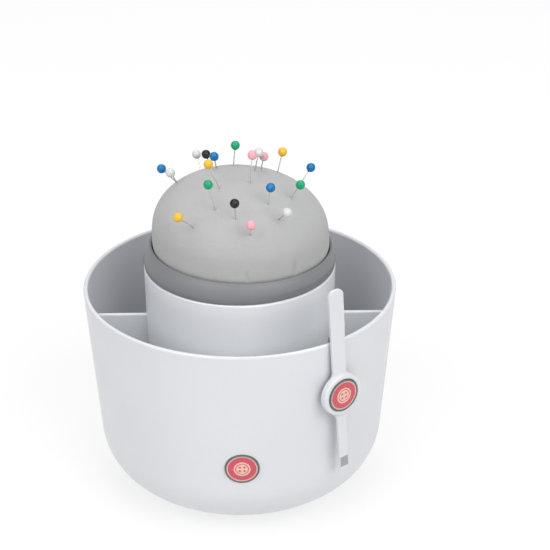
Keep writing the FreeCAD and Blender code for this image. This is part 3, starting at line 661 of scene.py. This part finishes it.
def drawn_in(point):
    """How far the cover is drawn in at a point by its creases and by the small puckers along the seam."""
    turn = math.degrees(math.atan2(point.x, -point.y))
    above = max(point.z - SEAM, 0)
    drawn = 0.12 * MM * noise.noise(Vector((point.x, point.y, 0)) / (3.2 * MM)) * fade(above, 8 * MM)
    for place, half, long, depth in CREASES:
        apart = math.radians((turn - place + 180) % 360 - 180) * CUSHION_RADIUS
        if abs(apart) < 3 * half * MM and above < long * MM:
            swell = math.sin(math.pi * (above / (long * MM)) ** 0.5)
            drawn += depth * MM * fade(apart, 2 * half * MM) * swell
    return drawn


CLOTH_MASS = 0.001
CLOTH_STIFFNESS = 5.0
CLOTH_BENDING = 0.05
CLOTH_PRESSURE = 4.0
CLOTH_FRAMES = 20
PUFF_LIMIT = 0.8 * MM
SEAM_HOLD = 5 * MM
PIN_HOLD = 2.4 * MM


def puffed(piece, pins):
    """Fills the cover by a cloth simulation that is held at the seam and where the pins go in."""
    held = piece.vertex_groups.new(name="held")
    for vert in piece.data.vertices:
        grip = 1.0 if vert.co.z < SEAM + 0.4 * MM else fade(vert.co.z - SEAM, SEAM_HOLD)
        for colour, centre, radius, direction, entry in pins:
            grip = max(grip, fade((vert.co - entry).length, PIN_HOLD))
        held.add([vert.index], grip, "REPLACE")
    start = [vert.co.copy() for vert in piece.data.vertices]
    cloth = piece.modifiers.new("cloth", "CLOTH")
    cloth.settings.effector_weights.gravity = 0
    cloth.settings.vertex_group_mass = "held"
    cloth.settings.mass = CLOTH_MASS
    cloth.settings.quality = 6
    cloth.settings.tension_stiffness = CLOTH_STIFFNESS
    cloth.settings.compression_stiffness = CLOTH_STIFFNESS
    cloth.settings.bending_stiffness = CLOTH_BENDING
    cloth.settings.use_pressure = True
    cloth.settings.uniform_pressure_force = CLOTH_PRESSURE
    cloth.point_cache.frame_start = 1
    cloth.point_cache.frame_end = CLOTH_FRAMES
    for step in range(1, CLOTH_FRAMES + 1):
        bpy.context.scene.frame_set(step)
    shaped = piece.evaluated_get(bpy.context.evaluated_depsgraph_get()).data
    ends = [vert.co.copy() for vert in shaped.vertices]
    piece.modifiers.clear()
    piece.vertex_groups.clear()
    for vert, before, after in zip(piece.data.vertices, start, ends):
        move = after - before
        vert.co = before + move * min(1, PUFF_LIMIT / max(move.length, 1e-9))
    bpy.context.scene.frame_set(1)


COVER_CUTS = 47
SLACK = 0.5 * MM
SLACK_ABOVE_SEAM = 8 * MM
CROWN_DRIFT = 1.9 * MM
DIMPLE_DEPTH = 0.45 * MM
DIMPLE_REACH = 2.6 * MM


def make_cushion(pins):
    """The stuffed cover: puffed by simulation, creased at the seam, and dimpled where the pins go in."""
    bm = even_ball(COVER_CUTS)
    for vert in bm.verts:
        vert.co = crowned(vert.co)
        slack = SLACK * (1 - fade(max(vert.co.z - SEAM, 0), SLACK_ABOVE_SEAM))
        vert.co -= outward(vert.co) * slack
    piece = finished(bm, "pincushion_pad", math.pi)
    puffed(piece, pins)
    with_modifiers(piece, ("SUBSURF", {"levels": 1}))
    for vert in piece.data.vertices:
        pull = drawn_in(vert.co) if vert.co.z > SEAM - MM else 0
        for colour, centre, radius, direction, entry in pins:
            pull += DIMPLE_DEPTH * fade((vert.co - entry).length, DIMPLE_REACH)
        vert.co -= outward(vert.co) * pull
        rise = (vert.co.z - CUSHION_FLOOR) / (CUSHION_TOP - CUSHION_FLOOR)
        vert.co += askew(vert.co)
        vert.co.x -= CROWN_DRIFT * rise ** 2
    piece.data.shade_smooth()
    settle(piece, "pincushion", "cushion_fabric", "cushion")


PIN_BURIED = 15 * MM


def read_pins():
    """Each pin as (colour, head centre, head radius, unit direction, place of entry)."""
    shafts = [ends_of(points) for points in solids_of("pin_shafts")]
    pins = []
    for colour in HEADS:
        for points in solids_of("pin_heads_" + colour):
            centre = middle_of(points)
            radius = max((p - centre).length for p in points)
            low, high = min(shafts, key=lambda ends: (ends[1] - centre).length)
            direction = (high - low).normalized()
            shift = Vector((LID_SHIFT, 0, 0))
            pins.append((colour, centre + shift, radius, direction, low + direction * PIN_BURIED + shift))
    return pins


def along(direction, origin):
    """A frame whose +Z runs along direction."""
    return Matrix.Translation(origin) @ direction.to_track_quat("Z", "Y").to_matrix().to_4x4()


def make_pins(pins):
    """Steel shafts with ground points, and slightly uneven ball heads with a short neck."""
    shaft = 0.3 * MM
    bm = bmesh.new()
    for colour, centre, radius, direction, entry in pins:
        long = (centre - entry).length + PIN_BURIED
        point = [(0, 0), (shaft, 4 * MM), (shaft, long - radius * 0.5), (0, long - radius * 0.5)]
        add_turned(bm, point, along(direction, entry - direction * PIN_BURIED), 16)
    settle(finished(bm, "pin_wires"), "pincushion", "pin_steel", "pin_shafts")

    neck, foot, turns = 0.5 * MM, 0.12 * MM, 20
    for wanted in HEADS:
        bm = bmesh.new()
        for colour, centre, radius, direction, entry in pins:
            if colour != wanted:
                continue
            drift = noise.noise(centre / (4 * MM)) * 0.03
            last = math.pi - math.asin(neck / radius)
            outline = []
            for turn in range(turns + 1):
                swing = last * turn / turns
                outline.append((radius * math.sin(swing), radius * math.cos(swing) * (1 + drift)))
            low = outline[-1][1] - foot
            outline += [(neck * 0.9, low), (neck * 0.6, low - 0.1 * MM), (0, low - 0.1 * MM)]
            add_turned(bm, outline[::-1], along(direction, centre), 32)
        settle(finished(bm, f"ball_heads_{wanted}"), "pincushion", "head_" + wanted, "pin_heads_" + wanted)


# ---------------------------------------------------------------- wand


def badge_height():
    """Height of the disc's centre in the wand's own frame."""
    low, high = measured("wand_badge_bezel", WAND)
    return (low.z + high.z) / 2


def wand_outline():
    """Strip, disc and stem in one outline, with hollow roundings where the strips run into the disc."""
    low, high = measured("wand_body", WAND)
    disc = high.x
    centre = badge_height()
    hollow, lower_hollow = 3.0 * MM, 9.0 * MM
    top_half, top_waist = 4.0 * MM, 3.6 * MM
    stem_half, stem_end_half = 2.5 * MM, 2.35 * MM

    def junction(half, sign, hollow):
        """The hollow arc from a strip's side to the disc, for the right-hand side."""
        reach = math.sqrt((disc + hollow) ** 2 - (half + hollow) ** 2)
        pivot = Vector((half + hollow, sign * reach))
        first, last = math.pi, math.atan2(-pivot.y, -pivot.x)
        if sign > 0:
            last += math.tau
        arc, steps = [], 6
        for step in range(steps + 1):
            angle = first + (last - first) * step / steps
            arc.append((pivot.x + hollow * math.cos(angle), centre + pivot.y + hollow * math.sin(angle)))
        return arc

    upper, lower = junction(top_waist, 1, hollow), junction(stem_half, -1, lower_hollow)
    start = math.atan2(upper[-1][1] - centre, upper[-1][0])
    end = math.atan2(lower[-1][1] - centre, lower[-1][0])
    rim, steps = [], 24
    for step in range(1, steps):
        angle = start + (end - start) * step / steps
        rim.append((disc * math.cos(angle), centre + disc * math.sin(angle)))
    crown = rounded([(0, high.z, 0), (top_half, high.z, 3.1 * MM), (top_waist, upper[0][1], 0)], 10)[:-1]
    foot = rounded([(stem_half, lower[0][1], 0), (stem_end_half, low.z, 0.7 * MM), (0, low.z, 0)], 5)[1:]
    right = [tuple(p) for p in crown] + upper + rim + lower[::-1] + [tuple(p) for p in foot]
    left = [(-across, up) for across, up in reversed(right[1:-1])]
    return right + left


def make_wand():
    """The strip with its raised disc, melted into one moulded piece, and the grey tip."""
    low, high = measured("wand_body", WAND)
    back, face = high.y, low.y
    thick, sink = 1.6 * MM, 0.9 * MM
    pocket = 8.1 * MM
    disc = high.x
    centre = badge_height()
    flat = Matrix.Rotation(math.radians(90), 4, "X")
    middle = Matrix.Translation((0, back - thick / 2, 0)) @ flat
    bm = bmesh.new()
    bm.from_mesh(plate_mesh([wand_outline()], thick, middle))
    boss_place = Matrix.Translation((0, back, centre)) @ flat
    high_face = back - face
    boss = rounded([(0, 0, 0), (disc, 0, 0.2 * MM), (disc, high_face, 0.9 * MM),
                    (pocket, high_face, 0.2 * MM), (pocket, high_face - sink, 0), (0, high_face - sink, 0)])
    add_turned(bm, boss, boss_place, 96)
    piece = finished(bm, "wand_strip", math.pi)
    with_modifiers(piece, ("REMESH", {"mode": "VOXEL", "voxel_size": 0.2 * MM, "use_smooth_shade": True}),
                   ("SMOOTH", {"factor": 0.5, "iterations": 3}))
    piece.data.transform(WAND)
    settle(piece, "wand", "wand_white", "wand_body")

    low, high = measured("wand_tip", WAND)
    tip = [(low.x, low.z), (high.x, low.z), (high.x, high.z), (low.x, high.z)]
    place = WAND @ Matrix.Translation((0, (low.y + high.y) / 2, 0)) @ flat
    mesh = plate_mesh([tip], high.y - low.y + 0.1 * MM, place, 0.12 * MM)
    settle(linked(mesh, "wand_tip_inlay"), "wand", "tip_grey", "wand_tip")


def make_hook():
    """A spring steel strip bent over the rim, with rounded bends, held by a domed rivet."""
    low, high = measured("wand_hook", WAND)
    thick, leg_thick = 1.2 * MM, 1.0 * MM
    bridge = 0.6 * MM
    bend = 0.5 * MM
    edge = 0.3 * MM
    corners = [(low.y, bridge, bend), (high.y - leg_thick, bridge, bend), (high.y - leg_thick, low.z, edge),
               (high.y, low.z, edge), (high.y, bridge + thick, bend + 0.8 * MM),
               (low.y + thick, bridge + thick, bend), (low.y + thick, high.z, edge), (low.y, high.z, edge)]
    outline = [(p.x, p.y) for p in rounded(corners)]
    width = high.x - low.x
    turn = Matrix(((0, 0, 1, 0), (1, 0, 0, 0), (0, 1, 0, 0), (0, 0, 0, 1)))
    mesh = plate_mesh([outline], width, WAND @ turn, 0.15 * MM)
    settle(linked(mesh, "wand_spring_hook"), "wand", "hook_steel", "wand_hook")

    low, high = measured("hook_rivet", WAND)
    radius = high.x
    head, dome = 1.0 * MM, 0.35 * MM
    turn = Matrix.Rotation(math.radians(-90), 4, "X")
    spot = WAND @ Matrix.Translation((0, low.y, (low.z + high.z) / 2)) @ turn
    long = high.y - low.y
    outline = rounded([(0, 0, 0), (radius, 0, 0), (radius, long, 0), (head, long, 0.05 * MM),
                       (head * 0.7, long + dome, 0.3 * MM), (0, long + dome, 0)])
    settle(turned("hook_rivet_head", outline, spot, 32), "wand", "hook_steel", "hook_rivet")


# ---------------------------------------------------------------- stage


FLOOR_HALF = 6.0
FLOOR_GREY = 0.26
FLOOR_GLOW = 0.69


def make_floor():
    """A plain pale floor with a little light of its own."""
    bm = bmesh.new()
    bmesh.ops.create_grid(bm, x_segments=1, y_segments=1, size=FLOOR_HALF)
    piece = finished(bm, "studio_floor")
    surface = Surface("studio_floor", (FLOOR_GREY,) * 3, Roughness=0.9, Specular_IOR_Level=0.0)
    surface.shader.inputs["Emission Color"].default_value = (1, 1, 1, 1)
    surface.shader.inputs["Emission Strength"].default_value = FLOOR_GLOW
    piece.data.materials.append(surface.material)


TARGET = Vector((0, 0, RIM_HEIGHT))
LAMP_DISTANCE = 2.2
LAMP_SIZE = 1.6
LAMPS = [
    # name, degrees from the front towards +X, degrees above the level, watts
    ("key", 38, 40, 31.0),
    ("fill", -42, 40, 24.0),
    ("top", 0, 87, 12.0),
    ("back", 180, 56, 13.0),
]
WORLD_STRENGTH = 0.36


def soft_box(name, azimuth, elevation, power):
    """A square lamp that faces the target."""
    light = bpy.data.lights.new(name, "AREA")
    light.size = LAMP_SIZE
    light.energy = power
    lamp = bpy.data.objects.new(name, light)
    bpy.context.scene.collection.objects.link(lamp)
    side, rise = math.radians(azimuth), math.radians(elevation)
    towards = Vector((math.sin(side) * math.cos(rise), -math.cos(side) * math.cos(rise), math.sin(rise)))
    lamp.location = TARGET + towards * LAMP_DISTANCE
    lamp.rotation_euler = towards.to_track_quat("Z", "Y").to_euler()


def make_lights():
    """Four large soft lamps in an even, pale surround."""
    world = bpy.data.worlds.new("studio")
    world.use_nodes = True
    background = world.node_tree.nodes["Background"]
    background.inputs["Color"].default_value = (1, 1, 1, 1)
    background.inputs["Strength"].default_value = WORLD_STRENGTH
    bpy.context.scene.world = world
    for name, azimuth, elevation, power in LAMPS:
        soft_box(name, azimuth, elevation, power)


CAMERA_LENS = 102.06
CAMERA_SENSOR = 36
CAMERA_DISTANCE = 0.75
CAMERA_ELEVATION = math.radians(27.01)
# How far right of and above the target the camera looks, as shares of the picture's width.
AIM_RIGHT = 0.0638
AIM_UP = 0.0091


def make_camera():
    """The view of a product shot: from the front, a little above."""
    data = bpy.data.cameras.new("camera")
    data.lens = CAMERA_LENS
    data.sensor_width = CAMERA_SENSOR
    camera = bpy.data.objects.new("camera", data)
    bpy.context.scene.collection.objects.link(camera)
    back = Vector((0, -math.cos(CAMERA_ELEVATION), math.sin(CAMERA_ELEVATION)))
    up = Vector((0, math.sin(CAMERA_ELEVATION), math.cos(CAMERA_ELEVATION)))
    camera.location = TARGET + back * CAMERA_DISTANCE
    width = CAMERA_DISTANCE * CAMERA_SENSOR / CAMERA_LENS
    aim = TARGET + Vector((AIM_RIGHT, 0, 0)) * width + up * (AIM_UP * width)
    camera.rotation_euler = (camera.location - aim).to_track_quat("Z", "Y").to_euler()
    bpy.context.scene.camera = camera


# The separately moulded pieces inside the tub, given the tub's white painted a shade lighter: painted light that
# makes up for the shade inside the tub.
PAINTED_LIGHTER_INSERTS = ("centre_cup", "left_divider", "right_divider")


def paint_cad_nodes():
    """Gives every CAD node the detailed material of its slot; the pieces inside the tub get the tub's white
    painted lighter instead, as painted light.
    """
    for part in frame["record"]["subparts"]:
        piece = frame["nodes"][part["node"]]
        # The pieces inside the tub take the lighter white: painted light for the shade inside the tub.
        slot = "insert_white_painted_lighter" if part["node"] in PAINTED_LIGHTER_INSERTS else part["material_slot"]
        piece.data.materials.clear()
        piece.data.materials.append(MATERIALS[slot])


paint_cad_nodes()
pins = read_pins()
make_collar()
make_cushion(pins)
make_pins(pins)
make_wand()
make_hook()
make_badge("tub_badge", "tub", Vector((0, 0, 1)))
make_badge("wand_badge", "wand", WAND.to_3x3() @ Vector((0, 0, 1)))
make_floor()
make_lights()
make_camera()
bpy.context.scene.view_settings.view_transform = "Standard"
